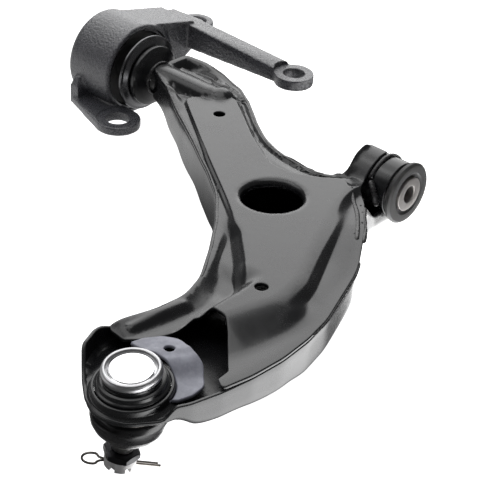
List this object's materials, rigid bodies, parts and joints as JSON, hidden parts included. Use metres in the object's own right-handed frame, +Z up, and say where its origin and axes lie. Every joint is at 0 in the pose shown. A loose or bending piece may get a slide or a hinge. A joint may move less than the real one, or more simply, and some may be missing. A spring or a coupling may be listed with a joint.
{
  "type": "automotive lower control arm",
  "caption": "Curved pressed-steel box control arm with a ball joint and stud at its outer end, a front bush eye, and a rear bush held in a cast three-ear bracket.",
  "frame": {"origin": "middle of the whole assembly's footprint, at the height of its lowest point, which is on the stud's foot", "axes": "+X runs along the hinge axis of both bushes from the rear bracket to the front bush, +Z points up, +Y points from the wheel side towards the car's middle"},
  "size_m": [0.4418, 0.4797, 0.1086],
  "materials": {
    "black_coat": "gloss black electrocoat over pressed steel",
    "cast_coat": "satin black coat over rough sand-cast iron",
    "bright_steel": "bright plated steel",
    "zinc_grey": "grey zinc plate",
    "bush_rubber": "matt moulded rubber",
    "boot_rubber": "satin moulded rubber",
    "seat_polymer": "natural bearing polymer",
    "wire_steel": "dark drawn wire"
  },
  "bodies": {
    "arm": {"upper_plate": "black_coat", "lower_shell": "black_coat", "joint_gusset": "black_coat", "rear_stem": "black_coat", "front_bush_tube": "black_coat", "front_bush_case": "zinc_grey", "front_bush_rubber": "bush_rubber", "ball_joint_housing": "black_coat", "closing_cap": "bright_steel", "ball_seat": "seat_polymer", "preload_plate": "zinc_grey", "boot_upper_ring": "wire_steel", "rear_inner_sleeve": "zinc_grey", "front_stop_washer": "zinc_grey", "rear_washer": "zinc_grey", "stem_nut": "zinc_grey"},
    "bracket": {"rear_bracket": "cast_coat", "rear_bush_case": "zinc_grey", "rear_bush_rubber": "bush_rubber"},
    "front_sleeve": {"front_inner_sleeve": "zinc_grey"},
    "boot": {"dust_boot": "boot_rubber"},
    "boot_foot": {"boot_lower_ring": "wire_steel"},
    "stud": {"ball_stud": "zinc_grey", "castle_nut": "zinc_grey", "cotter_pin": "wire_steel"}
  },
  "joints": [
    {"name": "rear_bracket_twist", "type": "hinge", "parent": "arm", "child": "bracket", "pos_m": [-0.1719, 0.11285, 0.06765], "axis": [1, 0, 0], "range_deg": [-25, 25], "stiffness_Nm_per_rad": 40},
    {"name": "front_sleeve_twist", "type": "hinge", "parent": "arm", "child": "front_sleeve", "pos_m": [0.1221, 0.11285, 0.06765], "axis": [1, 0, 0], "range_deg": [-25, 25], "stiffness_Nm_per_rad": 10},
    {"name": "ball_tilt_x", "type": "hinge", "parent": "arm", "child": "boot", "pos_m": [0.1671, -0.20995, 0.06335], "axis": [1, 0, 0], "range_deg": [-6.5, 26], "deforming": ["dust_boot"]},
    {"name": "ball_tilt_y", "type": "hinge", "parent": "boot", "child": "boot_foot", "pos_m": [0.1671, -0.20995, 0.06335], "axis": [0, 1, 0], "range_deg": [-22, 10.5], "deforming": ["dust_boot"]},
    {"name": "stud_spin", "type": "hinge", "parent": "boot_foot", "child": "stud", "pos_m": [0.1671, -0.20995, 0.06335], "axis": [0.099, 0.082, 0.9917], "range_deg": [-45, 45]}
  ]
}
